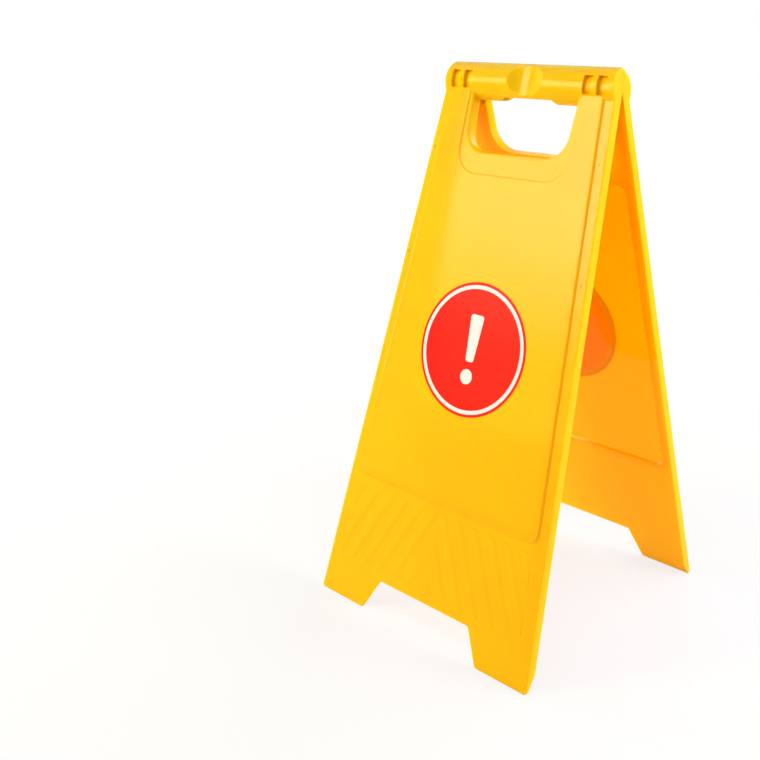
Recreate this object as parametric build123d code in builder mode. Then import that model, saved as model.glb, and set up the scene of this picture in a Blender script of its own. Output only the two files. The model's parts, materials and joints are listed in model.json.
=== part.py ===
from build123d import *
from math import cos, radians, sin, sqrt
import os

# A folding floor sign: two like plastic leaves hinged at the head, standing open as an A-frame.
# Millimetres and degrees. +Z is up, X runs along the hinge, the front leaf faces -Y, and the floor is Z = 0.
# Down the leaf is measured from the hinge axis, and depth is measured out from the closing plane,
# where the rims of the two folded leaves meet.

# Leaf
lean = 14.8
leaf_drop = 594.0
foot_width = 305.0
face_depth = 11.2
wall = 2.2
edge_round = 1.5
closing_gap = 0.25

# Feet
arch_rise = 36.8
arch_top_width = 131.0
arch_foot_width = 168.5
foot_round = 4.0
flange_rise = 19.0

# Raised print panel inside the border strip, with sloping walls
panel_rise = 2.0
panel_run = 2.0
panel_margin = 12.2
plain_height = 108.2
panel_corner = 10.0
panel_round = 1.0

# Shallow recess in the back of the panel, below the tray
recess_set = 7.0
recess_gap = 3.0
recess_corner = 9.0

# Hand hole, and the shallow tray pressed into the panel round it
hole_width = 138.8
hole_foot_width = 130.8
hole_drop = 73.5
hole_corner = 27.0
hole_round = 2.6
tray_step = 1.7
tray_apron = 23.8
tray_corner = 27.0
tray_depth = 1.2
tray_run = 1.2

# Low rounded ribs in chevrons on the plain field between the panel and the feet
chevron_rise = 0.5
chevron_width = 10.2
chevron_slope = 63.0
chevron_pitch = 43.3
chevron_count = 8
chevron_last = 534.7
chevron_panel_gap = 10.0
chevron_arch_gap = 12.0
chevron_side_gap = 17.0

# Head bar: a half-round shell, flat underneath, centred behind the closing plane and above the hinge axis
bar_radius = 22.2
bar_proud = 3.7
bar_rise = 3.4
bar_wall = 2.5
lip_cut = 2.4
lip_round = 8.0
stop_gap = 0.1
scoop_radius = 51.0
scoop_depth = 5.6
notch_width = 72.0
notch_drop = 11.4
notch_rise = 2.4

# Hinge: two blind windows at each post, with the knuckle plates of both leaves and a pin behind them
window_width = 11.2
window_pitch = 17.0
window_drop = 7.4
window_rise = 11.5
post_edge = 9.3
knuckle_thick = 5.0
knuckle_gap = 0.4
knuckle_set = 4.2
knuckle_rise = 18.0
knuckle_drop = 22.0
eye_wall = 4.5
block_lap = 1.5
pin_radius = 2.5
pin_play = 0.06
pin_slot_play = 0.5
pin_overhang = 1.5
pin_chamfer = 0.4

# Moulding marks in the border strip
dimple_radius = 2.0
dimple_depth = 1.2
dimple_first = 73.7
dimple_pitch = 118.1
dimple_count = 3

# Prints
disc_share = 0.519
disc_radius = 71.2
disc_film = 0.2
ring_radius = 68.1
ring_width = 4.1
mark_film = 0.1
mark_reach = 37.0
stroke_height = 50.0
stroke_top_width = 18.0
stroke_foot_width = 10.5
stroke_round = 3.0
dot_radius = 8.0

# Worked out from the sizes above
lean_cos = cos(radians(lean))
lean_sin = sin(radians(lean))
hinge_height = leaf_drop * lean_cos - face_depth * lean_sin
panel_depth = face_depth + panel_rise
tray_floor = panel_depth - tray_depth
tray_width = hole_width + 2 * (wall + tray_step)
tray_drop = hole_drop + tray_apron
hinge_width = tray_width + 2 * (window_pitch + window_width + post_edge)
side_slope = (foot_width - hinge_width) / 2 / leaf_drop
side_stretch = sqrt(1 + side_slope**2)
arch_drop = leaf_drop - arch_rise
panel_drop = arch_drop - plain_height
disc_drop = tray_drop + disc_share * (panel_drop - tray_drop)
chevron_radius = (chevron_width**2 / 4 + chevron_rise**2) / 2 / chevron_rise
bar_depth = panel_depth + bar_proud
bar_back = bar_radius - bar_depth
lip_drop = bar_radius - bar_rise - lip_cut
reach = 4 * bar_radius
first_window = tray_width / 2 + window_width / 2
second_window = first_window + window_pitch
knuckle_shift = (knuckle_thick + knuckle_gap) / 2
eye_radius = pin_radius + eye_wall
right_knuckles = (first_window - knuckle_shift, second_window + knuckle_shift)
left_knuckles = (-first_window - knuckle_shift, -second_window + knuckle_shift)
pin_start = hole_width / 2
pin_end = right_knuckles[-1] + knuckle_thick / 2 + pin_overhang

# Planes of the front leaf: square to its face, square to the hinge axis, square to its length, and upright
hinge_point = (0, 0, hinge_height)
outward = (0, -lean_cos, lean_sin)
up_the_leaf = (0, lean_sin, lean_cos)
leaf_plane = Plane(origin=hinge_point, x_dir=(1, 0, 0), z_dir=outward)
section_plane = Plane(origin=hinge_point, x_dir=outward, z_dir=(-1, 0, 0))
across_plane = Plane(origin=hinge_point, x_dir=(1, 0, 0), z_dir=up_the_leaf)
level_plane = Plane(origin=hinge_point, x_dir=(1, 0, 0), z_dir=(0, -1, 0))
out_axis = Axis(hinge_point, outward)
chevron_cos = cos(radians(chevron_slope))
chevron_sin = sin(radians(chevron_slope))
chevron_arm = (chevron_cos, -chevron_sin * lean_sin, -chevron_sin * lean_cos)


def half_width(up):
    """Half the leaf's width at a height above the hinge axis, measured up the leaf."""
    return hinge_width / 2 - up * side_slope


def side_outline(top, foot, inset):
    """The leaf's two sloping sides, moved inwards by inset and closed square at top and foot."""
    top_half = half_width(top) - inset * side_stretch
    foot_half = half_width(foot) - inset * side_stretch
    Polygon((-top_half, top), (-foot_half, foot), (foot_half, foot), (top_half, top))


def rounded_apron(top_half, foot_half, top, foot, corner):
    """An outline upright above the hinge axis and tapering below it, with two rounded lower corners."""
    with BuildSketch(mode=Mode.PRIVATE) as apron:
        Polygon((-top_half, 0), (-foot_half, foot), (foot_half, foot), (top_half, 0))
        fillet(apron.vertices().group_by(Axis.Y)[0], corner)
        if top > 0:
            Rectangle(2 * top_half, top, align=(Align.CENTER, Align.MIN))
    return apron.sketch


def panel_outline(inset):
    """The raised panel's outline, moved inwards by inset."""
    margin = panel_margin + inset
    foot = inset - panel_drop
    top_half = half_width(0) - margin * side_stretch
    foot_half = half_width(foot) - margin * side_stretch
    return rounded_apron(top_half, foot_half, 0, foot, panel_corner - inset)


def recess_outline(inset):
    """The outline of the recess behind the panel, moved inwards by inset, with four rounded corners."""
    margin = panel_margin + recess_set + inset
    with BuildSketch(mode=Mode.PRIVATE) as recess:
        side_outline(-tray_drop - recess_gap - inset, recess_set + inset - panel_drop, margin)
        fillet(recess.vertices(), recess_corner - inset)
    return recess.sketch


def hole_outline(top, grow):
    """The hand hole's outline, moved outwards by grow and carried up to top."""
    top_half = hole_width / 2 + grow
    foot_half = hole_foot_width / 2 + grow
    return rounded_apron(top_half, foot_half, top, -hole_drop - grow, hole_corner + grow)


def tray_outline(grow):
    """The tray's outline, moved outwards by grow."""
    half = tray_width / 2 + grow
    return rounded_apron(half, half, 0, -tray_drop - grow, tray_corner + grow)


def bar_outline(inset):
    """The head bar in section, moved inwards by inset: a circle with a flat underside and a rounded lip."""
    with BuildSketch(mode=Mode.PRIVATE) as bar:
        with Locations((-bar_back, bar_rise)):
            Circle(bar_radius - inset)
        with Locations((0, inset - lip_drop)):
            Rectangle(reach, reach, align=(Align.CENTER, Align.MIN), mode=Mode.INTERSECT)
        fillet(bar.vertices().group_by(Axis.Y)[0].sort_by(Axis.X)[-1], lip_round - inset)
    return bar.sketch


def notch_outline(grow):
    """The step in the bar's lower lip, with slanting ends, moved outwards by grow."""
    half = notch_width / 2 + grow
    top = grow - notch_drop
    foot = top - 2 * notch_rise
    Polygon(
        (-half - notch_rise, foot),
        (half + notch_rise, foot),
        (half - notch_rise, top),
        (notch_rise - half, top),
    )


def trim_to_own_side():
    """Cuts a section sketch back to the leaf's rim below the hinge and to its stop face above it."""
    knee = (closing_gap * lean_cos - stop_gap) / lean_sin
    stop_out = (reach * lean_sin + stop_gap) / lean_cos
    rim = ((closing_gap, -reach), (closing_gap, knee), (stop_out, reach))
    Polygon(*rim, (-reach, reach), (-reach, -reach), mode=Mode.SUBTRACT)


# Head block, before it is hollowed: the half-round bar with sloping, rounded ends
with BuildPart() as head:
    with BuildSketch(section_plane):
        add(bar_outline(0))
        trim_to_own_side()
    extrude(amount=hinge_width, both=True)
    with BuildSketch(leaf_plane.offset(-reach)):
        side_outline(reach, -reach, 0)
    extrude(amount=2 * reach, mode=Mode.INTERSECT)
    fillet(head.edges().filter_by(GeomType.ELLIPSE), edge_round)

# Space inside the leaf, which leaves the face, the flanges and the wall round the hand hole standing
with BuildPart() as hollow:
    with BuildSketch(leaf_plane.offset(-wall)):
        side_outline(0, -leaf_drop - reach, wall)
    extrude(amount=face_depth)
    with BuildSketch(leaf_plane.offset(face_depth - wall - panel_rise)):
        add(recess_outline(-3 * panel_run / 2))
    with BuildSketch(leaf_plane.offset(panel_depth - wall)):
        add(recess_outline(panel_run / 2))
    loft(ruled=True)
    with BuildSketch(section_plane):
        add(bar_outline(bar_wall))
    extrude(amount=hinge_width, both=True)
    with BuildSketch(leaf_plane.offset(-reach)):
        side_outline(reach, -leaf_drop - reach, wall)
    extrude(amount=2 * reach, mode=Mode.INTERSECT)
    with BuildSketch(leaf_plane.offset(-reach)):
        add(hole_outline(reach, wall))
    extrude(amount=2 * reach, mode=Mode.SUBTRACT)

# Space inside the bar between the posts, shallower behind the thumb scoop and over the step in the lip
with BuildPart() as bar_hollow:
    with BuildSketch(section_plane):
        add(bar_outline(bar_wall))
    extrude(amount=hole_width / 2, both=True)
    with BuildSketch(across_plane):
        with Locations((0, scoop_depth - bar_depth - scoop_radius)):
            Circle(scoop_radius + bar_wall)
    extrude(amount=2 * bar_radius, both=True, mode=Mode.SUBTRACT)
    with BuildSketch(level_plane):
        notch_outline(bar_wall)
    extrude(amount=reach, both=True, mode=Mode.SUBTRACT)

# Right-hand arms of the chevrons, cut to the plain field, and their mirror image
with BuildPart() as chevrons:
    for number in range(chevron_count):
        apex = (0, number * chevron_pitch - chevron_last, face_depth)
        arm_plane = Plane(origin=leaf_plane.from_local_coords(apex), x_dir=outward, z_dir=chevron_arm)
        with BuildSketch(arm_plane):
            with Locations((chevron_rise - chevron_radius, 0)):
                Circle(chevron_radius)
            Rectangle(wall, 2 * chevron_radius, mode=Mode.INTERSECT)
        extrude(amount=leaf_drop, both=True)
    with BuildSketch(leaf_plane.offset(face_depth - wall)):
        field_top = -panel_drop - chevron_panel_gap
        field_foot = chevron_arch_gap - arch_drop
        Polygon(
            (0, field_top),
            (0, field_foot),
            (half_width(field_foot) - chevron_side_gap, field_foot),
            (half_width(field_top) - chevron_side_gap, field_top),
        )
    extrude(amount=2 * wall, mode=Mode.INTERSECT)
    mirror(about=Plane.YZ)

with BuildPart() as front_leaf:
    # Border face with its feet, rounded along both sides
    with BuildSketch(leaf_plane.offset(closing_gap)) as border:
        side_outline(0, -leaf_drop, 0)
        arch_top = (arch_top_width / 2, -arch_drop)
        arch_foot = (arch_foot_width / 2, -leaf_drop)
        Polygon(
            (-arch_foot[0], arch_foot[1]),
            arch_foot,
            arch_top,
            (-arch_top[0], arch_top[1]),
            mode=Mode.SUBTRACT,
        )
        fillet(border.vertices().group_by(Axis.Y)[:2], foot_round)
    extrude(amount=face_depth - closing_gap)
    border_face = front_leaf.faces().sort_by(out_axis)[-1]
    fillet(border_face.edges().sort_by(SortBy.LENGTH)[-2:], edge_round)
    # Raised panel, its tray and the hand hole
    with BuildSketch(leaf_plane.offset(face_depth - panel_rise)):
        add(panel_outline(-3 * panel_run / 2))
    with BuildSketch(leaf_plane.offset(panel_depth)):
        add(panel_outline(panel_run / 2))
    loft(ruled=True)
    panel_face = front_leaf.faces().sort_by(out_axis)[-1]
    fillet(panel_face.edges(), panel_round)
    with BuildSketch(leaf_plane.offset(tray_floor)):
        add(tray_outline(-tray_run / 2))
    with BuildSketch(leaf_plane.offset(panel_depth + tray_depth)):
        add(tray_outline(3 * tray_run / 2))
    loft(ruled=True, mode=Mode.SUBTRACT)
    with BuildSketch(leaf_plane):
        add(hole_outline(reach, 0))
    extrude(amount=reach, mode=Mode.SUBTRACT)
    hole_edges = front_leaf.edges(Select.LAST).group_by(out_axis)[-1]
    fillet(hole_edges, hole_round)
    add(chevrons.part)
    # Head bar with its thumb scoop and the step in its lower lip
    add(head.part)
    with BuildSketch(across_plane):
        with Locations((0, scoop_depth - bar_depth - scoop_radius)):
            Circle(scoop_radius)
    extrude(amount=2 * bar_radius, both=True, mode=Mode.SUBTRACT)
    with BuildSketch(level_plane):
        notch_outline(0)
    extrude(amount=reach, mode=Mode.SUBTRACT)
    # Hollow back
    add(hollow.part, mode=Mode.SUBTRACT)
    add(bar_hollow.part, mode=Mode.SUBTRACT)
    # Blocks in front of the other leaf's eyes, and the windows as blind pockets in them
    for across in (-second_window, -first_window, first_window, second_window):
        with BuildSketch(section_plane.offset(-across)):
            add(bar_outline(bar_wall / 2))
            with Locations((0, knuckle_rise)):
                Rectangle(reach, reach, align=(Align.CENTER, Align.MAX), mode=Mode.INTERSECT)
            trim_to_own_side()
            Circle(eye_radius + knuckle_gap, mode=Mode.SUBTRACT)
        extrude(amount=window_width / 2 + block_lap, both=True)
        with BuildSketch(section_plane.offset(-across)):
            with Locations((0, -window_drop)):
                Rectangle(reach, window_drop + window_rise, align=(Align.MIN, Align.MIN))
            add(bar_outline(knuckle_set), mode=Mode.SUBTRACT)
        extrude(amount=window_width / 2, both=True, mode=Mode.SUBTRACT)
    # Half-round notches that let the pins in through the inner walls of the posts
    with BuildSketch(section_plane):
        Circle(pin_radius + pin_slot_play)
    extrude(amount=first_window, both=True, mode=Mode.SUBTRACT)
    # Knuckle plates with their eyes round the hinge axis
    for across in right_knuckles + left_knuckles:
        with BuildSketch(section_plane.offset(-across)):
            add(bar_outline(knuckle_set))
            with Locations((0, knuckle_rise)):
                Rectangle(reach, reach, align=(Align.CENTER, Align.MAX), mode=Mode.INTERSECT)
            trim_to_own_side()
            with Locations((closing_gap, -knuckle_drop)):
                Rectangle(face_depth - closing_gap - wall / 2, knuckle_drop, align=(Align.MIN, Align.MIN))
            Circle(eye_radius)
        extrude(amount=knuckle_thick / 2, both=True)
    with BuildSketch(section_plane.offset(-first_window + window_width / 2)):
        Circle(pin_radius)
    extrude(amount=-window_pitch - window_width, mode=Mode.SUBTRACT)
    with BuildSketch(section_plane.offset(first_window - window_width / 2)):
        Circle(pin_radius + pin_play)
    extrude(amount=window_pitch + window_width, mode=Mode.SUBTRACT)
    # Flange ends cut back above the feet, and the feet cut level with the floor
    with BuildSketch(section_plane):
        Polygon(
            (face_depth - wall, -leaf_drop),
            (closing_gap, flange_rise - leaf_drop),
            (closing_gap, -leaf_drop),
        )
    extrude(amount=foot_width, both=True, mode=Mode.SUBTRACT)
    with BuildSketch(Plane.XY):
        Rectangle(2 * foot_width, 2 * leaf_drop)
    extrude(amount=-face_depth, mode=Mode.SUBTRACT)
    # Moulding marks along both border strips
    with BuildSketch(leaf_plane.offset(face_depth)):
        for number in range(dimple_count):
            down = dimple_first + number * dimple_pitch
            strip_middle = half_width(-down) - panel_margin / 2 * side_stretch
            with Locations((-strip_middle, -down), (strip_middle, -down)):
                Circle(dimple_radius)
    extrude(amount=-dimple_depth, mode=Mode.SUBTRACT)

with BuildPart() as front_disc_print:
    with BuildSketch(leaf_plane.offset(panel_depth)):
        with Locations((0, -disc_drop)):
            Circle(disc_radius)
    extrude(amount=disc_film)

with BuildPart() as front_ring_print:
    with BuildSketch(leaf_plane.offset(panel_depth + disc_film)):
        with Locations((0, -disc_drop)):
            Circle(ring_radius)
            Circle(ring_radius - ring_width, mode=Mode.SUBTRACT)
    extrude(amount=mark_film)

# A plain exclamation mark: a tapering stroke above a dot
with BuildPart() as front_stroke_print:
    with BuildSketch(leaf_plane.offset(panel_depth + disc_film)) as stroke:
        stroke_foot = mark_reach - stroke_height
        with Locations((0, -disc_drop)):
            Polygon(
                (-stroke_top_width / 2, mark_reach),
                (-stroke_foot_width / 2, stroke_foot),
                (stroke_foot_width / 2, stroke_foot),
                (stroke_top_width / 2, mark_reach),
            )
        fillet(stroke.vertices(), stroke_round)
    extrude(amount=mark_film)

with BuildPart() as front_dot_print:
    with BuildSketch(leaf_plane.offset(panel_depth + disc_film)):
        with Locations((0, dot_radius - mark_reach - disc_drop)):
            Circle(dot_radius)
    extrude(amount=mark_film)

with BuildPart() as right_hinge_pin:
    with BuildSketch(section_plane.offset(-pin_start)):
        Circle(pin_radius)
    extrude(amount=pin_start - pin_end)
    chamfer(right_hinge_pin.edges().filter_by(GeomType.CIRCLE), pin_chamfer)

front_half = {
    "front_leaf": front_leaf,
    "right_hinge_pin": right_hinge_pin,
    "front_disc_print": front_disc_print,
    "front_ring_print": front_ring_print,
    "front_stroke_print": front_stroke_print,
    "front_dot_print": front_dot_print,
}
os.makedirs("parts", exist_ok=True)
for name, piece in front_half.items():
    piece.part.label = name
    export_step(piece.part, f"parts/{name}.step")
    # The rear half is the front half turned half way round about the upright axis
    with BuildPart() as turned:
        add(piece.part.rotate(Axis.Z, 180))
    rear_name = name.replace("front", "rear").replace("right", "left")
    turned.part.label = rear_name
    export_step(turned.part, f"parts/{rear_name}.step")
print(f"hinge axis {hinge_height:.2f} mm above the floor, head bar {2 * bar_depth:.1f} mm through")
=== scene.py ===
# %% [markdown]
# A folding floor sign is two moulded plastic leaves that hang from one hinge at the
# top. The shapes come from the CAD model, which is loaded first as a fixed frame.
# Loading it, instead of drawing the sign again, keeps every size and the hinge where
# the maker put them. What is left for Blender is the look: plastic that glows a little
# where it is thin, flat screen-printed inks, and the light of a white studio.

# %% Load the frame
import json
import math

import bpy
import numpy as np
from mathutils import Matrix, Vector


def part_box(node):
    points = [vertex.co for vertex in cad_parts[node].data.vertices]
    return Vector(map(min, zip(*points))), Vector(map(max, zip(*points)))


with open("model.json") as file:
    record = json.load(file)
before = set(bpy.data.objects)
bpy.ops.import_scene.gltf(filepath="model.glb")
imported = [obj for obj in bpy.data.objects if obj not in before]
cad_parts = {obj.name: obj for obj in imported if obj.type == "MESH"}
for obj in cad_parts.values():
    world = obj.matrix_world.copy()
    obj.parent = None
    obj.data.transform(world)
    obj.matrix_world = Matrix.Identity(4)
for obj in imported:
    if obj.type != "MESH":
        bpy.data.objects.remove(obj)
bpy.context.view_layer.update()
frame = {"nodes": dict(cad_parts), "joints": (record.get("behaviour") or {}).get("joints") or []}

print("CAD nodes:", sorted(frame["nodes"]))

# %% [markdown]
# Everything on the sign is placed on one of its two leaning faces, so it helps to know
# where those are. The hinge axis runs along X at a known height. A leaf leans by half
# of the angle between the two, and the joint's range is that whole angle, because the
# sign folds flat. So both numbers are read from the frame and none is typed in.

# %% Where the leaves lean
fold = frame["joints"][0]
hinge_height = fold["pos_m"][2]
lean = math.radians(abs(fold["range_deg"][0]) / 2)

print("hinge at", round(1000 * hinge_height, 1), "mm, lean",
      round(math.degrees(lean), 2), "degrees")

# %% [markdown]
# Colours are picked from a picture as sRGB hex codes, but a renderer adds light up, so
# it needs linear numbers. One function turns the one into the other. A second one adds
# a shader node: it sets the node's own properties, then fills its input sockets, and
# where the value given for a socket is another node's output it draws a link.

# %% Colour and node helpers
def linear(code):
    """sRGB hex to linear RGBA: divide by 255, then undo the sRGB curve."""
    s = np.array([int(code[i:i + 2], 16) for i in (1, 3, 5)]) / 255
    rgb = np.where(s <= 0.04045, s / 12.92, ((s + 0.055) / 1.055) ** 2.4)
    return (*rgb.tolist(), 1.0)


def add(tree, kind, settings=None, inputs=None):
    """Adds a node, sets its properties, then sets or links each named input."""
    node = tree.nodes.new(kind)
    for name, value in (settings or {}).items():
        setattr(node, name, value)
    for name, value in (inputs or {}).items():
        if isinstance(value, bpy.types.NodeSocket):
            tree.links.new(value, node.inputs[name])
        else:
            node.inputs[name].default_value = value
    return node


signal_yellow = "#FFBA01"
print("signal yellow in linear light:", [round(v, 3) for v in linear(signal_yellow)[:3]])

# %% [markdown]
# The print on a face shows faintly through the 2 mm wall, so on the inside of a leaf one
# sees a soft orange disc. The rear leaf is the front one turned half round, and the disc
# sits in its middle, so the absolute value of the position puts both discs in one place.
# A Mapping node that is centred there and leans with the leaf measures the distance from
# the disc's middle, and a colour ramp turns it into the field, the ring and the rim.

# %% The disc that shows through the wall
disc_low, disc_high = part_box("front_disc_print")
disc_centre = (disc_low + disc_high) / 2
disc_radius = (disc_high.x - disc_low.x) / 2
# colours by share of the disc's radius
ghost = ((0.87, "#FF9000"), (0.90, "#FFA208"), (0.945, "#FFA208"), (0.955, "#FF9600"),
         (0.985, "#FF9600"))
ghost_edge = 0.99
# a length so large that the depth in the wall counts for nothing
flattened = 1000.0


def with_disc_shown(tree, place, colour):
    """The wall's own colour, and within the disc's edge the colours of its ghost."""
    mirrored = add(tree, "ShaderNodeVectorMath", {"operation": "ABSOLUTE"}, {0: place})
    centred = add(tree, "ShaderNodeMapping", {"vector_type": "TEXTURE"}, {
        "Vector": mirrored.outputs["Vector"],
        "Location": (0.0, abs(disc_centre.y), disc_centre.z),
        "Rotation": (lean, 0.0, 0.0),
        "Scale": (disc_radius, flattened, disc_radius)})
    reach = add(tree, "ShaderNodeVectorMath", {"operation": "LENGTH"},
                {0: centred.outputs["Vector"]})
    shown = add(tree, "ShaderNodeValToRGB", None, {"Fac": reach.outputs["Value"]})
    ramp = shown.color_ramp
    for i in (0, 1):
        ramp.elements[i].position, ramp.elements[i].color = ghost[i][0], linear(ghost[i][1])
    for position, code in ghost[2:]:
        ramp.elements.new(position).color = linear(code)
    inside = add(tree, "ShaderNodeMath", {"operation": "LESS_THAN"},
                 {0: reach.outputs["Value"], 1: ghost_edge})
    tinted = add(tree, "ShaderNodeMix", {"data_type": "RGBA"}, {
        "Factor": inside.outputs["Value"], "A": colour, "B": shown.outputs["Color"]})
    return tinted.outputs["Result"]


print("disc", round(2000 * disc_radius, 1), "mm wide, its middle at",
      round(1000 * disc_centre.z, 1), "mm")

# %% [markdown]
# The leaves are injection-moulded polypropylene, coloured right through. The mould was
# polished, so the skin is glossy, with a slow waviness where the wall shrank as it
# cooled and a fine grain on top. Polypropylene is cloudy rather than opaque: red light
# travels some millimetres inside it, green less and blue almost none, which is why the
# shaded sides of such a sign turn orange instead of brown. Subsurface scattering does
# exactly that. Painting the shade on would look wrong from every other side.

# %% Moulded polypropylene for the leaves
# sizes in metres: melt flow, change of gloss, sink waves, mould grain, way of light inside
flow_patch, gloss_patch, sink_wave, mould_grain = 0.090, 0.035, 0.030, 0.0016
scatter_length, scatter_rgb = 0.0080, (1.0, 0.75, 0.06)


def moulded_polypropylene(name, tones, disc_shows):
    """Glossy cloudy plastic: two close tones, slow waviness, fine grain, light inside."""
    material = bpy.data.materials.new(name)
    material.use_nodes = True
    tree = material.node_tree
    tree.nodes.clear()
    place = add(tree, "ShaderNodeTexCoord").outputs["Object"]
    # melt flow leaves wide patches that are a shade lighter or darker
    flow = add(tree, "ShaderNodeTexNoise", None,
               {"Vector": place, "Scale": 1 / flow_patch, "Detail": 2.0, "Roughness": 0.5})
    colour = add(tree, "ShaderNodeMix", {"data_type": "RGBA"},
                 {"Factor": flow.outputs["Fac"], "A": linear(tones[0]), "B": linear(tones[1])})
    colour = colour.outputs["Result"]
    if disc_shows:
        colour = with_disc_shown(tree, place, colour)
    # the skin's gloss varies slowly
    gloss = add(tree, "ShaderNodeTexNoise", None,
                {"Vector": place, "Scale": 1 / gloss_patch, "Detail": 3.0})
    rough = add(tree, "ShaderNodeMapRange", None, {
        "Value": gloss.outputs["Fac"], "From Min": 0.0, "From Max": 1.0,
        "To Min": 0.03, "To Max": 0.10})
    # sink waves, and a mould grain drawn coarser than it is so that it shows
    wave = add(tree, "ShaderNodeTexNoise", None,
               {"Vector": place, "Scale": 1 / sink_wave, "Detail": 1.0})
    waved = add(tree, "ShaderNodeBump", None,
                {"Height": wave.outputs["Fac"], "Strength": 0.25, "Distance": 0.0004})
    grain = add(tree, "ShaderNodeTexNoise", None,
                {"Vector": place, "Scale": 1 / mould_grain, "Detail": 2.0})
    grained = add(tree, "ShaderNodeBump", None, {
        "Height": grain.outputs["Fac"], "Strength": 0.05, "Distance": 0.0002,
        "Normal": waved.outputs["Normal"]})
    plastic = add(tree, "ShaderNodeBsdfPrincipled", None, {
        "Base Color": colour, "Roughness": rough.outputs["Result"],
        "IOR": 1.49, "Specular IOR Level": 0.12,
        "Subsurface Weight": 1.0, "Subsurface Radius": scatter_rgb,
        "Subsurface Scale": scatter_length, "Normal": grained.outputs["Normal"]})
    add(tree, "ShaderNodeOutputMaterial", None, {"Surface": plastic.outputs["BSDF"]})
    print("made", name, "with", len(tree.nodes), "nodes")
    return material


leaf_plastic = moulded_polypropylene(
    "moulded_polypropylene_yellow", (signal_yellow, "#FFB200"), True)
for leaf in ("front_leaf", "rear_leaf"):
    frame["nodes"][leaf].material_slots[0].material = leaf_plastic

# %% [markdown]
# The two hinge pins are small pegs of the same plastic, moulded separately. They carry
# no print, so they get the same recipe without the disc, in a slightly deeper tone,
# because a thick peg lets less light through than a thin wall.

# %% The hinge pins
pin_plastic = moulded_polypropylene("moulded_polypropylene_pins", ("#FFB402", "#FFAC02"), False)
for pin in ("right_hinge_pin", "left_hinge_pin"):
    frame["nodes"][pin].material_slots[0].material = pin_plastic

# %% [markdown]
# The disc, its ring and the exclamation mark are screen-printed: ink is pressed through
# a fine mesh, so the film has a faint mottle from the mesh and the squeegee and is a
# little duller than the moulded skin around it. The red is a saturated warm red, and
# the white lets a trace of what is under it show through. One recipe makes both inks.

# %% Screen-printed inks
# metres; real mesh threads are 0.1 mm apart, drawn coarser here so that they show
squeegee_patch, mesh_dot = 0.012, 0.0008


def screen_printed_ink(name, tones, gloss):
    """A thin even film: two close tones in patches, and the faint dots of the mesh."""
    material = bpy.data.materials.new(name)
    material.use_nodes = True
    tree = material.node_tree
    tree.nodes.clear()
    place = add(tree, "ShaderNodeTexCoord").outputs["Object"]
    patch = add(tree, "ShaderNodeTexNoise", None,
                {"Vector": place, "Scale": 1 / squeegee_patch, "Detail": 3.0})
    colour = add(tree, "ShaderNodeMix", {"data_type": "RGBA"},
                 {"Factor": patch.outputs["Fac"], "A": linear(tones[0]), "B": linear(tones[1])})
    rough = add(tree, "ShaderNodeMapRange", None, {
        "Value": patch.outputs["Fac"], "From Min": 0.0, "From Max": 1.0,
        "To Min": gloss - 0.03, "To Max": gloss + 0.03})
    dots = add(tree, "ShaderNodeTexNoise", None,
               {"Vector": place, "Scale": 1 / mesh_dot, "Detail": 1.0})
    film = add(tree, "ShaderNodeBump", None,
               {"Height": dots.outputs["Fac"], "Strength": 0.05, "Distance": 0.0001})
    ink = add(tree, "ShaderNodeBsdfPrincipled", None, {
        "Base Color": colour.outputs["Result"], "Roughness": rough.outputs["Result"],
        "IOR": 1.5, "Specular IOR Level": 0.05, "Normal": film.outputs["Normal"]})
    add(tree, "ShaderNodeOutputMaterial", None, {"Surface": ink.outputs["BSDF"]})
    print("made", name, "with", len(tree.nodes), "nodes")
    return material


red_ink = screen_printed_ink("screen_printed_red_ink", ("#F0161C", "#E81218"), 0.12)
white_ink = screen_printed_ink("screen_printed_white_ink", ("#FFE6EE", "#FCDFE8"), 0.14)
for side in ("front", "rear"):
    disc = frame["nodes"][f"{side}_disc_print"]
    disc.material_slots[0].material = red_ink
    # the film is so thin that light still reaches the wall behind it
    disc.visible_shadow = False
    for print_name in ("ring", "stroke", "dot"):
        frame["nodes"][f"{side}_{print_name}_print"].material_slots[0].material = white_ink

# %% [markdown]
# The sign stands in a white studio, on matt paper that catches its shadow. The paper has
# to look white without so much light that the yellow washes out. Asking Light Path which
# kind of ray arrives does that: the rays that show the paper get a lift towards white,
# and the rays that carry light from it to the sign don't.

# %% Floor
paper_fibre, floor_half = 0.010, 4.0
# how far the paper is lifted near the sign and far from it, and between which distances
lift_near, lift_far, near, far = 0.75, 1.0, 0.3, 0.9


def seen_directly(tree):
    """1 for the rays that show the studio: to the camera, off gloss and through glass."""
    rays = add(tree, "ShaderNodeLightPath")
    seen = add(tree, "ShaderNodeMath", {"operation": "ADD"},
               {0: rays.outputs["Is Camera Ray"], 1: rays.outputs["Is Glossy Ray"]})
    seen = add(tree, "ShaderNodeMath", {"operation": "ADD", "use_clamp": True},
               {0: seen.outputs["Value"], 1: rays.outputs["Is Transmission Ray"]})
    return seen.outputs["Value"]


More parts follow.
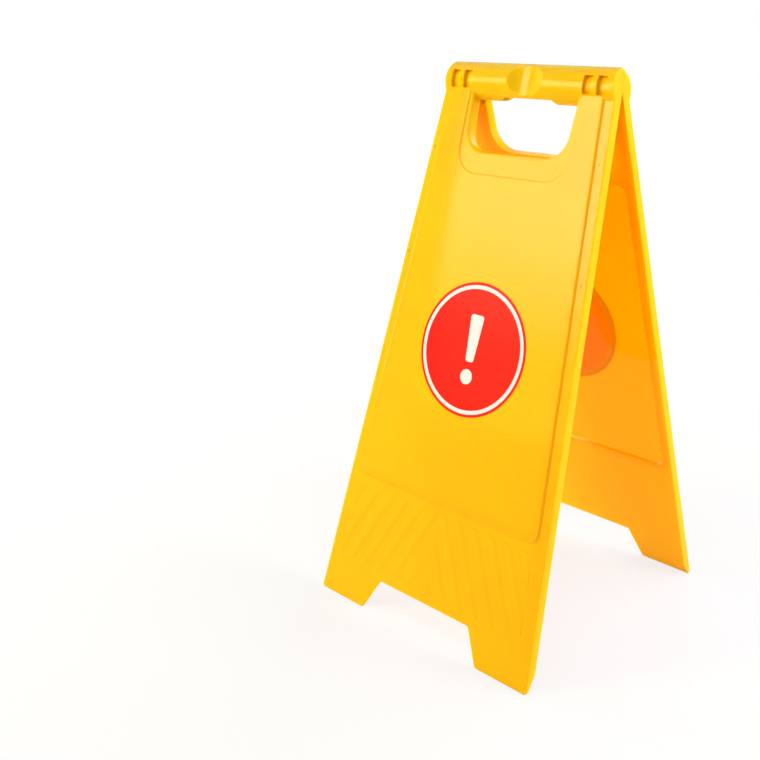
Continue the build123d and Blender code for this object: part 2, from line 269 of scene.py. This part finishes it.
def pale_floor():
    """Matt white paper; to the camera it is lifted towards white but keeps its shadow."""
    material = bpy.data.materials.new("matt_white_studio_paper")
    material.use_nodes = True
    tree = material.node_tree
    tree.nodes.clear()
    place = add(tree, "ShaderNodeTexCoord").outputs["Object"]
    fibre = add(tree, "ShaderNodeTexNoise", None,
                {"Vector": place, "Scale": 1 / paper_fibre, "Detail": 2.0})
    tone = add(tree, "ShaderNodeMix", {"data_type": "RGBA"}, {
        "Factor": fibre.outputs["Fac"], "A": linear("#E4E4E4"), "B": linear("#E2E2E2")})
    paper = add(tree, "ShaderNodeBsdfDiffuse", None, {"Color": tone.outputs["Result"]})
    lift = add(tree, "ShaderNodeEmission", None, {"Color": linear("#FFFFFF"), "Strength": 1.0})
    # the farther from the sign, the more the paper is lifted, until it is plain white
    away = add(tree, "ShaderNodeVectorMath", {"operation": "LENGTH"}, {0: place})
    sweep = add(tree, "ShaderNodeMapRange", {"interpolation_type": "SMOOTHSTEP"}, {
        "Value": away.outputs["Value"], "From Min": near, "From Max": far,
        "To Min": lift_near, "To Max": lift_far})
    share = add(tree, "ShaderNodeMath", {"operation": "MULTIPLY"},
                {0: seen_directly(tree), 1: sweep.outputs["Result"]})
    mixed = add(tree, "ShaderNodeMixShader", None, {
        "Fac": share.outputs["Value"], 1: paper.outputs["BSDF"], 2: lift.outputs["Emission"]})
    add(tree, "ShaderNodeOutputMaterial", None, {"Surface": mixed.outputs["Shader"]})
    return material


corners = [(x * floor_half, y * floor_half, 0) for x, y in ((-1, -1), (1, -1), (1, 1), (-1, 1))]
floor_mesh = bpy.data.meshes.new("studio_floor")
floor_mesh.from_pydata(corners, [], [(0, 1, 2, 3)])
floor = bpy.data.objects.new("studio_floor", floor_mesh)
floor_mesh.materials.append(pale_floor())
bpy.context.scene.collection.objects.link(floor)
print("floor", 2 * floor_half, "m wide")

# %% [markdown]
# The world works in the same way. It is white where the camera or a mirror image shows
# it, and a dim room to the rays that light the sign, so nearly all the light comes from
# the lamps and keeps its direction.

# %% World
room_light = 0.22
world = bpy.data.worlds.new("white_studio")
world.use_nodes = True
bpy.context.scene.world = world
tree = world.node_tree
tree.nodes.clear()
white = linear("#FFFFFF")
room = add(tree, "ShaderNodeBackground", None, {"Color": white, "Strength": room_light})
sweep = add(tree, "ShaderNodeBackground", None, {"Color": white, "Strength": 1.0})
mixed = add(tree, "ShaderNodeMixShader", None, {
    "Fac": seen_directly(tree), 1: room.outputs["Background"], 2: sweep.outputs["Background"]})
add(tree, "ShaderNodeOutputWorld", None, {"Surface": mixed.outputs["Shader"]})
print("world with", len(tree.nodes), "nodes")

# %% [markdown]
# Six soft boxes light the sign. The front one stands to the left: its mirror image is
# the pale veil over the upper right of the front face. The key hangs close above the
# head, so the face gets darker downwards. The low one shines across the face from the
# left, which brings out the panel's edge and the ribs above the feet. The right one
# makes the narrow side walls bright, and the two behind shine through the rear leaf and
# make its inside glow. The power of a flat lamp is pi times its area times its radiance,
# so the lamps can be given by how bright they look, whatever their size.

# %% Soft boxes
def soft_box(name, centre, size, radiance, toward, tint):
    """A rectangular lamp that faces one way; watts = radiance pi area."""
    lamp = bpy.data.lights.new(name, "AREA")
    lamp.shape = "RECTANGLE"
    lamp.size, lamp.size_y = size
    lamp.energy = radiance * math.pi * size[0] * size[1]
    lamp.color = tint
    box = bpy.data.objects.new(name, lamp)
    box.matrix_world = (Matrix.Translation(centre)
                        @ Vector(toward).to_track_quat("-Z", "Y").to_matrix().to_4x4())
    box.visible_camera = False
    bpy.context.scene.collection.objects.link(box)
    print(name, round(lamp.energy, 1), "W")
    return box


# the front box is warm, so the two other lamps that light the print are cool, and white
# ink stays white
plain, cool = (1.0, 1.0, 1.0), (0.80, 0.82, 1.0)
# name, centre and size in metres, radiance, direction, tint
boxes = {row[0]: soft_box(*row) for row in (
    ("front_soft_box", (-1.082, -1.492, 0.837), (0.72, 1.10), 18.0, (0.0, 0.956, -0.292), plain),
    ("back_soft_box", (1.00, 1.90, 1.70), (2.20, 1.60), 2.5, (-1.0, -1.9, -1.4), plain),
    ("rear_soft_box", (-0.60, 1.60, 0.80), (1.20, 1.20), 2.7, (0.6, -1.6, -0.5), plain),
    ("low_soft_box", (-1.30, -0.42, 0.40), (0.60, 0.60), 8.4, (1.3, 0.50, -0.08), cool),
    ("right_soft_box", (1.50, 0.50, 0.85), (0.80, 0.80), 10.5, (-1.5, -0.5, -0.5), plain),
    ("key_soft_box", (0.30, -0.45, 1.05), (0.60, 0.50), 3.4, (-0.25, 0.40, -0.65), cool))}
# the right box is there to light the side walls, so its own mirror image stays off the rims
boxes["right_soft_box"].visible_glossy = False

# %% [markdown]
# A real soft box is not evenly bright. The bulb of the front one sits near its top right,
# so the cloth is dimmer and warmer below and dimmer to the left, and the veil on the face
# fades in the same way. The lamp's own nodes read the place on the cloth in metres.

# %% The cloth of the front box
cloth_low, cloth_high = (0.34, 0.29, 0.03, 1.0), (1.0, 0.95, 0.50, 1.0)
dim_below, bright_above, dim_left, bright_right, left_share = 0.54, 0.92, -1.45, -0.90, 0.70

front_lamp = boxes["front_soft_box"].data
front_lamp.use_nodes = True
tree = front_lamp.node_tree
spot = add(tree, "ShaderNodeNewGeometry")
place = add(tree, "ShaderNodeSeparateXYZ", None, {"Vector": spot.outputs["Position"]})
rise = add(tree, "ShaderNodeMapRange", None, {
    "Value": place.outputs["Z"], "From Min": dim_below, "From Max": bright_above})
warm = add(tree, "ShaderNodeMix", {"data_type": "RGBA"}, {
    "Factor": rise.outputs["Result"], "A": cloth_low, "B": cloth_high})
across = add(tree, "ShaderNodeMapRange", None, {
    "Value": place.outputs["X"], "From Min": dim_left, "From Max": bright_right,
    "To Min": left_share, "To Max": 1.0})
glow = tree.nodes["Emission"]
tree.links.new(warm.outputs["Result"], glow.inputs["Color"])
tree.links.new(across.outputs["Result"], glow.inputs["Strength"])
print("front box cloth:", len(tree.nodes), "nodes")

# %% [markdown]
# The camera stands to the right of the front face, a little above the hinge, and looks
# slightly down. Its angles, distance and focal length were fitted to the corners of the
# sign in the picture. The sign is not in the middle of the picture, so the lens is
# shifted by the amount that the framing needs and no more.

# %% Camera
azimuth, elevation, roll = (math.radians(angle) for angle in (38.378, 15.667, 2.490))
# metres, then pixels: focal length, where the aim falls in the picture, the picture's side
aim, distance = Vector((0, 0, 0.30)), 1.0600
focal, middle, frame_side = 949.9, (522.03, 338.80), 760
sensor = 36  # mm

back = Vector((math.sin(azimuth) * math.cos(elevation),
               -math.cos(azimuth) * math.cos(elevation), math.sin(elevation)))
right = Vector((math.cos(azimuth), math.sin(azimuth), 0))
up = back.cross(right)
turned_right = right * math.cos(roll) + up * math.sin(roll)
turned_up = up * math.cos(roll) - right * math.sin(roll)
eye = aim + back * distance

lens = bpy.data.cameras.new("studio_camera")
lens.sensor_width = sensor
lens.lens = focal / frame_side * sensor
lens.shift_x = -(middle[0] - frame_side / 2) / frame_side
lens.shift_y = (middle[1] - frame_side / 2) / frame_side
camera = bpy.data.objects.new("studio_camera", lens)
camera.matrix_world = Matrix((
    (turned_right.x, turned_up.x, back.x, eye.x),
    (turned_right.y, turned_up.y, back.y, eye.y),
    (turned_right.z, turned_up.z, back.z, eye.z),
    (0, 0, 0, 1)))
bpy.context.scene.collection.objects.link(camera)
bpy.context.scene.camera = camera
bpy.context.scene.view_settings.view_transform = "Standard"
print("lens", round(lens.lens, 2), "mm, shift", round(lens.shift_x, 3), round(lens.shift_y, 3))
